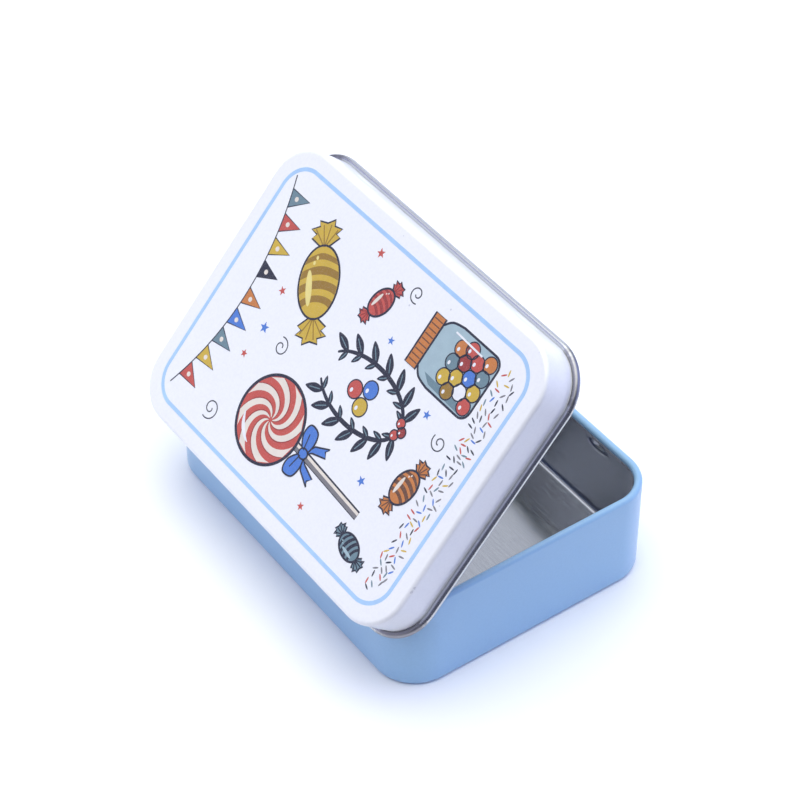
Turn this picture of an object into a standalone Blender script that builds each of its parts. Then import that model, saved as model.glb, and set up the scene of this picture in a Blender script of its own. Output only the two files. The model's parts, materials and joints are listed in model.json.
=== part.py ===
"""A small hinged box drawn from tinplate, standing open.

+Z is up and the origin is the centre of the base's underside. The hinge runs along Y
on the -X side, and the two catches are on the +X side. Lengths are in metres.
"""
from math import cos, pi, radians, sin

import bmesh
import bpy
from mathutils import Matrix, Vector

MM = 0.001

# Sheet, the gap that neighbouring metal keeps, and how far an edge is rolled round
SHEET = 0.3 * MM
GAP = 0.3 * MM
ROLL_SWEEP = radians(292.5)

# Base: a drawn tray whose rim is rolled inwards
BASE_LENGTH = 100.0 * MM
BASE_WIDTH = 73.7 * MM
BASE_HEIGHT = 26.9 * MM
BASE_CORNER_RADIUS = 10.8 * MM
BASE_EDGE_RADIUS = 1.2 * MM
RIM_RADIUS = 1.0 * MM

# Lid: a shallow cap whose skirt ends in a bead rolled outwards
SIDE_PLAY = 0.75 * MM
HINGE_PLAY = 0.75 * MM
CATCH_PLAY = 1.1 * MM
LID_LENGTH = BASE_LENGTH + 2 * SIDE_PLAY
LID_WIDTH = BASE_WIDTH + HINGE_PLAY + CATCH_PLAY
LID_HEIGHT = 11.0 * MM
LID_CORNER_RADIUS = 11.1 * MM
LID_SHOULDER_RADIUS = 1.1 * MM
LID_REST_GAP = 0.25 * MM
BEAD_RADIUS = 0.9 * MM
BEAD_OUTSET = BEAD_RADIUS - SHEET

# Hinge: the lid turns on its own bead, inside two lugs lanced out of the base's wall
HINGE_X = -(BASE_WIDTH / 2 + HINGE_PLAY + BEAD_OUTSET)
HINGE_Z = BASE_HEIGHT + LID_REST_GAP + SHEET - (LID_HEIGHT - BEAD_RADIUS)
OPEN_ANGLE = radians(48.3)
LUG_SPACING = 56.0 * MM
LUG_WIDTH = 8.0 * MM
LUG_INNER_RADIUS = BEAD_RADIUS + GAP
LUG_END_ANGLE = radians(70)
LUG_STEPS = 12
SLOT_HEIGHT = 5.5 * MM
WINDOW_FOOT = 0.4 * MM
WINDOW_HEAD = 2.4 * MM
WINDOW_MARGIN = 0.6 * MM

# Catches: dents pressed into the base's wall and into the lid's skirt
BASE_DENT_Y = 27.0 * MM
BASE_DENT_HEIGHT = 20.8 * MM
BASE_DENT_REACH = Vector((0.55, 3.6, 1.25)) * MM
LID_DENT_Y = 31.0 * MM
LID_DENT_HEIGHT = 3.0 * MM
LID_DENT_REACH = Vector((0.25, 4.5, 1.6)) * MM
DENT_STAND_OFF = Vector((0.1, 0, 0)) * MM

# Fineness of the round forms
CORNER_STEPS = 8
EDGE_STEPS = 4
ROLL_STEPS = 13
DENT_SEGMENTS = 20
DENT_RINGS = 10

BLUE_PAINT = (0.235, 0.475, 0.725, 1.0)
WHITE_LACQUER = (0.86, 0.88, 0.95, 1.0)


def clear_scene():
    for thing in list(bpy.data.objects):
        bpy.data.objects.remove(thing)


def new_collection(name):
    collection = bpy.data.collections.new(name)
    bpy.context.scene.collection.children.link(collection)
    return collection


def new_material(name, colour, roughness):
    material = bpy.data.materials.new(name)
    material.use_nodes = True
    shader = material.node_tree.nodes["Principled BSDF"]
    shader.inputs["Base Color"].default_value = colour
    shader.inputs["Roughness"].default_value = roughness
    return material


def mesh_object(name, form, collection):
    """An object from a finished bmesh."""
    mesh = bpy.data.meshes.new(name)
    form.to_mesh(mesh)
    form.free()
    thing = bpy.data.objects.new(name, mesh)
    collection.objects.link(thing)
    return thing


def curve_to_mesh(curve_object, collection):
    """The same shape as a welded mesh, in the place of the curve object."""
    bpy.context.view_layer.update()
    evaluated = curve_object.evaluated_get(bpy.context.evaluated_depsgraph_get())
    mesh = bpy.data.meshes.new_from_object(evaluated)
    form = bmesh.new()
    form.from_mesh(mesh)
    bmesh.ops.remove_doubles(form, verts=form.verts, dist=0.001 * MM)
    bmesh.ops.recalc_face_normals(form, faces=form.faces)
    bpy.data.meshes.remove(mesh)
    thing = mesh_object(curve_object.name + "_mesh", form, collection)
    thing.matrix_world = curve_object.matrix_world
    bpy.data.objects.remove(curve_object)
    return thing


def arc(centre, radius, start, sweep, steps):
    """Points on an arc, as (inset, height) pairs; angles turn from outwards to upwards."""
    angles = [start + sweep * step / steps for step in range(steps + 1)]
    return [(centre[0] - radius * cos(a), centre[1] + radius * sin(a)) for a in angles]


def rounded_rectangle(width, length, radius):
    """The outline's points, anticlockwise round the origin."""
    points = []
    for corner in range(4):
        side_x = 1 if corner in (0, 3) else -1
        side_y = 1 if corner in (0, 1) else -1
        centre = Vector((side_x * (width / 2 - radius), side_y * (length / 2 - radius)))
        for step in range(CORNER_STEPS + 1):
            angle = (corner + step / CORNER_STEPS) * pi / 2
            points.append(centre + radius * Vector((cos(angle), sin(angle))))
    return points


def drawn_sheet(name, width, length, corner_radius, section, middle, collection):
    """A sheet drawn into a rounded box, open at one end.

    section lists (inset, height) pairs of the skin, from the closed end to the roll's edge.
    The skin is the face on the outside of the roll, and the sheet lies behind it.
    """
    form = bmesh.new()
    loops = []
    for inset, height in section:
        outline = rounded_rectangle(width - 2 * inset, length - 2 * inset, corner_radius - inset)
        ring = [form.verts.new((middle + place.x, place.y, height)) for place in outline]
        loops.append([form.edges.new(pair) for pair in zip(ring, ring[1:] + ring[:1])])
    for lower, upper in zip(loops, loops[1:]):
        bmesh.ops.bridge_loops(form, edges=lower + upper)
    closed_end = bmesh.ops.contextual_create(form, geom=loops[0])["faces"]
    bmesh.ops.recalc_face_normals(form, faces=form.faces)
    if closed_end[0].normal.z > 0:
        bmesh.ops.reverse_faces(form, faces=form.faces)
    sheet = mesh_object(name, form, collection)
    wall = sheet.modifiers.new("sheet", "SOLIDIFY")
    wall.thickness = SHEET
    wall.offset = -1
    wall.use_even_offset = True
    return sheet


def base_section():
    """From the underside, up the wall's outer face and round the inward roll."""
    edge = BASE_EDGE_RADIUS
    foot = arc((edge, edge), edge, -pi / 2, pi / 2, EDGE_STEPS)
    rim = arc((RIM_RADIUS, BASE_HEIGHT - RIM_RADIUS), RIM_RADIUS, 0, ROLL_SWEEP, ROLL_STEPS)
    return foot + rim


def lid_section():
    """From the panel's inner face, down the skirt's inner face and round the outward bead."""
    radius = LID_SHOULDER_RADIUS - SHEET
    centre = (LID_SHOULDER_RADIUS, LID_HEIGHT - BEAD_RADIUS - LID_SHOULDER_RADIUS)
    shoulder = arc(centre, radius, pi / 2, -pi / 2, EDGE_STEPS)
    bead = arc((-BEAD_OUTSET, 0), BEAD_RADIUS, pi, ROLL_SWEEP, ROLL_STEPS)
    return shoulder + bead


def lug_outline():
    """The strip's side view, from inside the wall, under the bead and round over it.

    Points are (along X, along Z) from the hinge axis.
    """
    outer_radius = LUG_INNER_RADIUS + SHEET
    wall_middle = -HINGE_X - BASE_WIDTH / 2 + SHEET / 2
    sweep = 2 * pi - (pi / 2 + LUG_END_ANGLE)
    angles = [-pi / 2 - sweep * step / LUG_STEPS for step in range(LUG_STEPS + 1)]
    outer = [(outer_radius * cos(a), outer_radius * sin(a)) for a in angles]
    inner = [(LUG_INNER_RADIUS * cos(a), LUG_INNER_RADIUS * sin(a)) for a in reversed(angles)]
    return [(wall_middle, -outer_radius)] + outer + inner + [(wall_middle, -LUG_INNER_RADIUS)]


def hinge_lug(name, y, collection):
    """A flat outline in the XZ plane, as thick as the lug is wide."""
    curve = bpy.data.curves.new(name, "CURVE")
    curve.dimensions = "2D"
    curve.fill_mode = "BOTH"
    curve.extrude = LUG_WIDTH / 2
    spline = curve.splines.new("POLY")
    outline = lug_outline()
    spline.points.add(len(outline) - 1)
    for point, (along_x, along_z) in zip(spline.points, outline):
        point.co = (along_x, along_z, 0, 1)
    spline.use_cyclic_u = True
    lug = bpy.data.objects.new(name, curve)
    lug.location = (HINGE_X, y, HINGE_Z)
    lug.rotation_euler = (pi / 2, 0, 0)
    collection.objects.link(lug)
    return curve_to_mesh(lug, collection)


def box(name, lowest, highest, collection):
    form = bmesh.new()
    low, high = Vector(lowest), Vector(highest)
    place = Matrix.Translation((low + high) / 2) @ Matrix.Diagonal((*(high - low), 1))
    bmesh.ops.create_cube(form, size=1, matrix=place)
    return mesh_object(name, form, collection)


def ellipsoid(name, centre, reach, collection, flat_at=None):
    """An ellipsoid, or the part of it on the -X side of the plane x = flat_at."""
    form = bmesh.new()
    place = Matrix.Translation(centre) @ Matrix.Diagonal((*reach, 1))
    bmesh.ops.create_uvsphere(form, u_segments=DENT_SEGMENTS, v_segments=DENT_RINGS,
                              radius=1, matrix=place)
    if flat_at is not None:
        everything = list(form.verts) + list(form.edges) + list(form.faces)
        cut = bmesh.ops.bisect_plane(form, geom=everything, plane_co=(flat_at, 0, 0),
                                     plane_no=(1, 0, 0), clear_outer=True)
        rim = [piece for piece in cut["geom_cut"] if isinstance(piece, bmesh.types.BMEdge)]
        bmesh.ops.holes_fill(form, edges=rim)
        bmesh.ops.recalc_face_normals(form, faces=form.faces)
    return mesh_object(name, form, collection)


def combine(body, tool, operation):
    step = body.modifiers.new(tool.name, "BOOLEAN")
    step.operation = operation
    step.object = tool
    tool.display_type = "WIRE"
    tool.hide_render = True


def press_dent(body, name, centre, reach, collection):
    """A dent pressed towards -X into a wall whose outer face holds centre."""
    sheet = Vector((SHEET, SHEET, SHEET))
    bump = ellipsoid(name + "_bump", centre, reach + sheet, collection, centre.x - SHEET / 2)
    hollow = ellipsoid(name + "_hollow", centre + DENT_STAND_OFF, reach + DENT_STAND_OFF,
                       collection)
    combine(body, bump, "UNION")
    combine(body, hollow, "DIFFERENCE")
    return [bump, hollow]


def make_base(parts, tools):
    base = drawn_sheet("base", BASE_WIDTH, BASE_LENGTH, BASE_CORNER_RADIUS, base_section(),
                       0, parts)
    slot_foot = HINGE_Z - LUG_INNER_RADIUS + SHEET
    wall = -BASE_WIDTH / 2
    for side in (-1, 1):
        y = side * LUG_SPACING / 2
        half = LUG_WIDTH / 2 + GAP
        slot = box(f"slot_{side}", (wall - SHEET, y - half, slot_foot),
                   (wall + 2 * SHEET, y + half, slot_foot + SLOT_HEIGHT), tools)
        combine(base, slot, "DIFFERENCE")
        combine(base, hinge_lug(f"lug_{side}", y, tools), "UNION")
        dent = Vector((BASE_WIDTH / 2, side * BASE_DENT_Y, BASE_DENT_HEIGHT))
        press_dent(base, f"base_dent_{side}", dent, BASE_DENT_REACH, tools)
    return base


def make_lid(parts, tools):
    """The lid is modelled shut, round its hinge axis, and then turned open."""
    middle = BEAD_OUTSET + LID_WIDTH / 2
    lid = drawn_sheet("lid", LID_WIDTH, LID_LENGTH, LID_CORNER_RADIUS, lid_section(),
                      middle, parts)
    lid_tools = []
    for side in (-1, 1):
        y = side * LUG_SPACING / 2
        half = LUG_WIDTH / 2 + WINDOW_MARGIN
        window = box(f"window_{side}", (BEAD_OUTSET - SHEET / 2, y - half, WINDOW_FOOT),
                     (BEAD_OUTSET + 2 * SHEET, y + half, WINDOW_HEAD), tools)
        combine(lid, window, "DIFFERENCE")
        dent = Vector((BEAD_OUTSET + LID_WIDTH, side * LID_DENT_Y, LID_DENT_HEIGHT))
        dent_tools = press_dent(lid, f"lid_dent_{side}", dent, LID_DENT_REACH, tools)
        lid_tools += [window] + dent_tools
    for tool in lid_tools:
        tool.parent = lid
    lid.location = (HINGE_X, 0, HINGE_Z)
    lid.rotation_euler = (0, -OPEN_ANGLE, 0)
    return lid


def finish(thing, material):
    thing.data.materials.append(material)
    thing.data.shade_smooth()
    thing.data.set_sharp_from_angle(angle=radians(40))


def main():
    clear_scene()
    parts = new_collection("hinged_tin")
    tools = new_collection("forming_tools")
    finish(make_base(parts, tools), new_material("blue_paint", BLUE_PAINT, 0.42))
    finish(make_lid(parts, tools), new_material("white_lacquer", WHITE_LACQUER, 0.35))


main()
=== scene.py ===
"""The candy tin's visible model: a painted tray and a printed lid of rolled tinplate.

Lengths are in metres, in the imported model's frame. The lid is drawn in its own frame, with
x across its panel from the hinge axis and z out of the panel, and is then turned open.
The print is drawn on a card in millimetres, with x across the panel and y along the tin.
"""

import json
from math import atan2, cos, pi, radians, sin

import bmesh
import bpy
from bpy.props import (BoolProperty, FloatProperty, FloatVectorProperty, IntProperty,
                       PointerProperty)
from mathutils import Matrix, Vector


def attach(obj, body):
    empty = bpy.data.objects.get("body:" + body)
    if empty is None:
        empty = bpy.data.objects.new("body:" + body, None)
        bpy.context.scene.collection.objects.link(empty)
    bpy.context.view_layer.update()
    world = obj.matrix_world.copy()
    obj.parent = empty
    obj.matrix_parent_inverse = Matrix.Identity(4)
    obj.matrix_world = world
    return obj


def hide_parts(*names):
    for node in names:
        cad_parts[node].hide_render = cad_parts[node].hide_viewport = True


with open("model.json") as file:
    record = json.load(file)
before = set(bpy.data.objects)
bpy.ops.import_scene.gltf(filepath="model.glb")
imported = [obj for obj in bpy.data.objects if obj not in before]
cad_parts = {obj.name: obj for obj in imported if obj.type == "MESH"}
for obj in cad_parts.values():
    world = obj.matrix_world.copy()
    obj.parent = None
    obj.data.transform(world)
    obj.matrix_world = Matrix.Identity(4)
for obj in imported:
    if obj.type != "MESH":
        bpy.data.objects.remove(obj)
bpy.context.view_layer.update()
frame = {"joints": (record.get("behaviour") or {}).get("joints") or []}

bl_info = {
    "name": "Hinged candy tin",
    "version": (1, 0, 0),
    "blender": (4, 5, 0),
    "location": "3D View > Sidebar > Tin",
    "description": "Builds a small hinged tin with a printed lid over its packed solids",
    "category": "Add Mesh",
}

MM = 0.001
TINY = 1e-6

HINGE = frame["joints"][0]
HINGE_POINT = Vector(HINGE["pos_m"])
OPEN_ANGLE = -radians(HINGE["range_deg"][0])
LID_PLACE = Matrix.Translation(HINGE_POINT) @ Matrix.Rotation(-OPEN_ANGLE, 4, "Y")

# Sheet metal: how near two heights and two points count as one, where a long wall starts as
# a share of the half width, how much a dent deepens upwards, the rise over which a corner
# becomes fully drawn, and the angle from which an edge is sharp
SAME_HEIGHT = 0.01 * MM
SAME_PLACE = 0.002 * MM
WALL_SHARE = 0.98
DENT_SKEW = 0.7
DRAWN_RISE = 2 * MM
SHARP_ANGLE = radians(42)

# Finishes: the depth of the finest relief, and where the lid's shoulder is scuffed
RELIEF = 0.02 * MM
SCUFFS = [LID_PLACE @ (Vector((x, -50.6, 9.4)) * MM) for x in (15.4, 15.9, 16.4, 16.9)]
SCUFF_REACH = 0.55 * MM

# The camera that fits the photograph: its angles, and its distances from the tin's middle
CAMERA_TURN, CAMERA_LIFT, CAMERA_ROLL = radians(-35.380), radians(42.547), radians(-0.129)
CAMERA_BACK, CAMERA_RIGHT, CAMERA_UP = 0.62216, -0.001775, 0.026178


# Settings

def length_property(name, description, millimetres):
    return FloatProperty(name=name, description=description, default=millimetres * MM,
                         min=0.0, precision=5, subtype="DISTANCE", unit="LENGTH")


def strength_property(name, light, strength):
    return FloatProperty(name=name, description="Strength of the " + light, default=strength,
                         min=0.0)


def colour_property(name, description, red, green, blue):
    """A colour from 0 to 255 a channel, as a screen shows it."""
    return FloatVectorProperty(name=name, description=description, subtype="COLOR", size=3,
                               min=0.0, max=1.0, default=linear(red, green, blue))


def linear(red, green, blue):
    """Linear light from a screen colour of 0 to 255 a channel."""
    shares = [channel / 255 for channel in (red, green, blue)]
    return tuple(s / 12.92 if s <= 0.04045 else ((s + 0.055) / 1.055) ** 2.4 for s in shares)


class SheetSettings(bpy.types.PropertyGroup):
    """What the tray and the lid share."""
    thickness: length_property("Thickness", "Thickness of the tinplate", 0.3)
    spacing: length_property("Spacing", "Distance between points along the straight sides", 0.6)
    corner_steps: IntProperty(name="Corner steps", description="Points round each corner",
                              default=20, min=3)
    roll_steps: IntProperty(name="Roll steps", description="Points round each rolled edge",
                            default=26, min=6)
    roll_sweep: FloatProperty(name="Roll sweep", description="How far an edge is rolled round",
                              default=radians(292.5), subtype="ANGLE", unit="ROTATION")


class BaseSettings(bpy.types.PropertyGroup):
    """The tray."""
    length: length_property("Length", "Outside length, along the hinge", 100.0)
    width: length_property("Width", "Outside width", 73.7)
    height: length_property("Height", "Height of the rim", 26.9)
    corner_radius: length_property("Corner radius", "Radius of the upright corners", 10.8)
    edge_radius: length_property("Edge radius", "Radius where the floor meets the wall", 1.6)
    rim_radius: length_property("Rim radius", "Radius of the rolled rim", 1.0)
    dent_y: length_property("Dent distance", "From the middle of the wall to a catch dent", 27.0)
    dent_height: length_property("Dent height", "Height of a catch dent", 20.8)
    dent_length: length_property("Dent length", "Half the length of a catch dent", 3.6)
    dent_rise: length_property("Dent rise", "Half the height of a catch dent", 1.25)
    dent_depth: length_property("Dent depth", "How deep a catch dent is", 0.7)
    slot_y: length_property("Slot distance", "From the middle of the wall to a hinge slot", 28.0)
    slot_width: length_property("Slot width", "Half the width of a hinge slot", 4.3)
    slot_height: length_property("Slot height", "Height of a hinge slot", 5.5)
    lug_width: length_property("Lug width", "Width of a hinge lug", 8.0)
    lug_radius: length_property("Lug radius", "Outer radius of a hinge lug", 1.5)


class LidSettings(bpy.types.PropertyGroup):
    """The lid. Heights are measured from the hinge axis, out of the panel."""
    length: length_property("Length", "Outside length of the skirt", 101.5)
    width: length_property("Width", "Outside width of the skirt", 75.55)
    panel_height: length_property("Panel height", "Top of the panel", 10.1)
    corner_radius: length_property("Corner radius", "Radius of the corners", 11.1)
    shoulder_radius: length_property("Shoulder radius", "Radius round the panel", 1.1)
    bead_radius: length_property("Bead radius", "Radius of the rolled bead", 0.9)
    bead_sweep: FloatProperty(name="Bead sweep", description="How far the bead is rolled round",
                              default=radians(310), subtype="ANGLE", unit="ROTATION")
    dent_y: length_property("Dent distance", "From the middle of the skirt to a dent", 31.0)
    dent_height: length_property("Dent height", "Height of a dent", 3.0)
    dent_length: length_property("Dent length", "Half the length of a dent", 4.5)
    dent_rise: length_property("Dent rise", "Half the height of a dent", 1.6)
    dent_depth: length_property("Dent depth", "How deep a dent is", 0.25)
    window_width: length_property("Window width", "Half the width of a hinge window", 4.6)
    window_foot: length_property("Window foot", "Lower edge of a hinge window", 0.4)
    window_head: length_property("Window head", "Upper edge of a hinge window", 2.4)


class PaintSettings(bpy.types.PropertyGroup):
    """Colours of the lacquers, the metal and the border line."""
    base: colour_property("Tray lacquer", "Sky-blue lacquer outside the tray", 150, 192, 229)
    lid: colour_property("Lid lacquer", "White lacquer outside the lid", 248, 249, 254)
    metal: colour_property("Tinplate", "Bare tinplate", 183, 185, 189)
    border: colour_property("Border line", "Line printed round the panel", 176, 213, 252)


class PrintSettings(bpy.types.PropertyGroup):
    """The print on the lid."""
    border_margin: length_property("Border margin", "From the skirt to the line's middle", 4.7)
    border_width: length_property("Border width", "Width of the border line", 1.0)
    border_radius: length_property("Border radius", "Corner radius of the border line", 7.2)
    layer: length_property("Layer", "Step between one layer of ink and the next", 0.012)
    sprinkles: IntProperty(name="Sprinkles", description="Number of printed sprinkles",
                           default=150, min=0)
    seed: IntProperty(name="Seed", description="Arrangement of the sprinkles", default=7)
    rod_length: length_property("Sprinkle length", "Length of a sprinkle", 1.7)
    rod_width: length_property("Sprinkle width", "Width of a sprinkle", 0.42)
    rod_gap: length_property("Sprinkle gap", "Least distance between two sprinkles", 1.25)


class StageSettings(bpy.types.PropertyGroup):
    """The floor, the light from the sky and the camera."""
    floor_size: FloatProperty(name="Floor size", description="Side of the floor", default=2.0,
                              min=1.0, unit="LENGTH")
    floor_front: FloatProperty(name="Floor front", default=0.12, min=0.1, unit="LENGTH",
                               description="From the tin's middle to the floor's front edge")
    overhead: strength_property("Overhead", "light above", 3.0)
    back: strength_property("Back", "low light behind", 0.95)
    left: strength_property("Left", "high light to the left", 0.6)
    right: strength_property("Right", "low light to the right", 0.92)
    even: strength_property("Even", "light from everywhere", 0.12)
    lens: FloatProperty(name="Lens", description="Focal length on a 36 mm sensor, in mm",
                        default=114.36)


class TinSettings(bpy.types.PropertyGroup):
    """Everything that the tin's operators read."""
    sheet: PointerProperty(type=SheetSettings, name="Sheet", description="Shared sizes")
    base: PointerProperty(type=BaseSettings, name="Base", description="Sizes of the tray")
    lid: PointerProperty(type=LidSettings, name="Lid", description="Sizes of the lid")
    paint: PointerProperty(type=PaintSettings, name="Paint", description="Colours")
    design: PointerProperty(type=PrintSettings, name="Print", description="The lid's print")
    stage: PointerProperty(type=StageSettings, name="Stage", description="Light and camera")
    shown: BoolProperty(name="Show sizes", description="List the sizes too", default=False)


# Making of nodes

class Nodes:
    """Adds nodes to a tree and fills their inputs."""

    def __init__(self, tree):
        self.tree = tree

    def give(self, node, inputs):
        """Links each input that is given a socket, and sets any other."""
        for key, value in inputs.items():
            if isinstance(value, bpy.types.NodeSocket):
                self.tree.links.new(value, node.inputs[key])
            else:
                node.inputs[key].default_value = value

    def add(self, kind, inputs=None, **settings):
        made = self.tree.nodes.new(kind)
        for name, value in settings.items():
            setattr(made, name, value)
        self.give(made, inputs or {})
        return made

    def out(self, kind, inputs=None, **settings):
        """The first output of a new node."""
        return self.add(kind, inputs, **settings).outputs[0]

    def math(self, operation, *values, clamp=False):
        return self.out("ShaderNodeMath", dict(enumerate(values)), operation=operation,
                        use_clamp=clamp)

    def product(self, *values):
        result = values[0]
        for value in values[1:]:
            result = self.math("MULTIPLY", result, value)
        return result

    def vector(self, operation, *values):
        made = self.add("ShaderNodeVectorMath", dict(enumerate(values)), operation=operation)
        scalar = operation in ("DISTANCE", "LENGTH", "DOT_PRODUCT")
        return made.outputs["Value" if scalar else "Vector"]

    def split(self, vector):
        return self.add("ShaderNodeSeparateXYZ", {0: vector}).outputs

    def join(self, x, y, z):
        return self.out("ShaderNodeCombineXYZ", {0: x, 1: y, 2: z})


def new_tree(name, inputs):
    """A geometry tree with one geometry output, and the inputs named under each kind."""
    tree = bpy.data.node_groups.new(name, "GeometryNodeTree")
    for kind, labels in inputs.items():
        for label in labels:
            tree.interface.new_socket(label, in_out="INPUT", socket_type="NodeSocket" + kind)
    tree.interface.new_socket("Result", in_out="OUTPUT", socket_type="NodeSocketGeometry")
    nodes = Nodes(tree)
    return nodes, nodes.add("NodeGroupInput").outputs, nodes.add("NodeGroupOutput")


def close_tree(nodes, end, geometry, material):
    """Ends a tree as the export needs: instances made real, and the material set."""
    real = nodes.out("GeometryNodeRealizeInstances", {"Geometry": geometry})
    painted = nodes.out("GeometryNodeSetMaterial", {"Geometry": real, "Material": material})
    nodes.give(end, {0: painted})
    return nodes.tree


def linked(name, data):
    """A new object in the scene."""
    made = bpy.data.objects.new(name, data)
    bpy.context.scene.collection.objects.link(made)
    return made


def grow(name, mesh, tree, values):
    """Runs a geometry tree on a mesh and returns the plain mesh that comes out."""
    host = linked(name + "_host", mesh)
    modifier = host.modifiers.new(name, "NODES")
    modifier.node_group = tree
    sockets = {item.name: item.identifier for item in tree.interface.items_tree
               if item.in_out == "INPUT"}
    for label, value in values.items():
        modifier[sockets[label]] = value
    return plain_mesh(host, name)


def plain_mesh(thing, name):
    """The evaluated mesh of an object, which is then removed."""
    bpy.context.view_layer.update()
    evaluated = thing.evaluated_get(bpy.context.evaluated_depsgraph_get())
    mesh = bpy.data.meshes.new_from_object(evaluated)
    mesh.name = name
    old = thing.data
    bpy.data.objects.remove(thing)
    if old.users == 0:
        bpy.data.meshes.remove(old)
    return mesh


def new_object(name, mesh, body, place=None):
    """A finished piece: its place is in its mesh, and it rides on a body."""
    if not mesh.polygons:
        raise RuntimeError(f"{name} has no faces")
    if place is not None:
        mesh.transform(place)
    piece = linked(name, mesh)
    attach(piece, body)
    return piece


# Sheet metal

def arc(centre, radius, start, sweep, steps):
    """Points on an arc, as (inset, height) pairs; angles turn from outwards to upwards."""
    angles = [start + sweep * step / steps for step in range(steps + 1)]
    return [(centre[0] - radius * cos(a), centre[1] + radius * sin(a)) for a in angles]


def levels(low, high, fixed, dense_at, dense_reach, step):
    """Heights between low and high: the fixed ones, and close ones across a dent."""
    count = round(2 * dense_reach / step)
    dense = [dense_at - dense_reach + 2 * dense_reach * i / count for i in range(count + 1)]
    clear = [z for z in dense if all(abs(z - f) > step / 3 for f in fixed)]
    return sorted(z for z in clear + list(fixed) if low < z < high)


def rounded_outline(nodes, given):
    """A rectangle of the width and length given to a tree, with its corners rounded."""
    outline = nodes.out("GeometryNodeCurvePrimitiveQuadrilateral",
                        {"Width": given["Width"], "Height": given["Length"]},
                        mode="RECTANGLE")
    return nodes.out("GeometryNodeFilletCurve",
                     {"Curve": outline, "Count": given["Corner Steps"],
                      "Radius": given["Corner Radius"]}, mode="POLY")


def drawn_sheet_tree():
    """Sweeps a section round a rounded rectangle, closes one end, presses and cuts it."""
    nodes, given, end = new_tree("drawn_sheet", {
        "Geometry": ["Section"], "Int": ["Corner Steps"], "Material": ["Material"],
        "Float": ["Width", "Length", "Corner Radius", "Spacing", "Closed Height",
                  "Dent Distance", "Dent Height", "Dent Half Length", "Dent Half Height",
                  "Dent Depth", "Cut Distance", "Cut Half Width", "Cut Foot", "Cut Head"]})
    out, math, product = nodes.out, nodes.math, nodes.product

    rounded = rounded_outline(nodes, given)
    count = nodes.add("GeometryNodeAttributeDomainSize", {"Geometry": rounded},
                      component="CURVE").outputs["Point Count"]
    index = out("GeometryNodeInputIndex")
    place = out("GeometryNodeInputPosition")
    following = math("MODULO", math("ADD", index, 1.0), count)
    next_place = out("GeometryNodeFieldAtIndex", {"Index": following, "Value": place},
                     domain="POINT", data_type="FLOAT_VECTOR")
    gap = nodes.vector("DISTANCE", next_place, place)
    cuts = math("FLOOR", math("DIVIDE", gap, given["Spacing"]))
    path = out("GeometryNodeSubdivideCurve", {"Curve": rounded, "Cuts": cuts})
    section = out("GeometryNodeMeshToCurve", {"Mesh": given["Section"]})
    wall = out("GeometryNodeCurveToMesh", {"Curve": path, "Profile Curve": section})

    x, y, z = nodes.split(place)
    level = math("LESS_THAN", math("ABSOLUTE", math("SUBTRACT", z, given["Closed Height"])),
                 SAME_HEIGHT)
    faces = out("GeometryNodeInputMeshEdgeNeighbors")
    rim = product(level, math("LESS_THAN", faces, 1.5))
    loop = out("GeometryNodeMeshToCurve", {"Mesh": wall, "Selection": rim})
    cap = out("GeometryNodeFillCurve", {"Curve": loop}, mode="NGONS")
    lift = nodes.join(0.0, 0.0, given["Closed Height"])
    cap = out("GeometryNodeTransform", {"Geometry": cap, "Translation": lift})
    joined = nodes.add("GeometryNodeJoinGeometry")
    for part in (wall, cap):
        nodes.give(joined, {0: part})
    welded = out("GeometryNodeMergeByDistance",
                 {"Geometry": joined.outputs[0], "Distance": SAME_PLACE})

    half_width = product(given["Width"], 0.5)
    away = math("ABSOLUTE", y)
    along = math("DIVIDE", math("SUBTRACT", away, given["Dent Distance"]),
                 given["Dent Half Length"])
    upward = math("DIVIDE", math("SUBTRACT", z, given["Dent Height"]),
                  given["Dent Half Height"])
    reach = math("ADD", product(along, along), product(upward, upward))
    inside = math("SUBTRACT", 1.0, reach, clamp=True)
    catch_wall = math("GREATER_THAN", x, product(half_width, WALL_SHARE))
    depth = product(inside, math("MULTIPLY_ADD", upward, DENT_SKEW, 1.0), catch_wall,
                    given["Dent Depth"])
    pressed = out("GeometryNodeSetPosition",
                  {"Geometry": welded,
                   "Offset": nodes.join(product(depth, -1.0), 0.0, 0.0)})

    hinge_wall = math("LESS_THAN", x, product(half_width, -WALL_SHARE))
    beside = math("LESS_THAN", math("ABSOLUTE", math("SUBTRACT", away, given["Cut Distance"])),
                  given["Cut Half Width"])
    above = math("GREATER_THAN", z, given["Cut Foot"])
    below = math("LESS_THAN", z, given["Cut Head"])
    opening = product(hinge_wall, beside, above, below)
    cut = out("GeometryNodeDeleteGeometry", {"Geometry": pressed, "Selection": opening},
              domain="FACE")
    return close_tree(nodes, end, cut, given["Material"])


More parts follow.
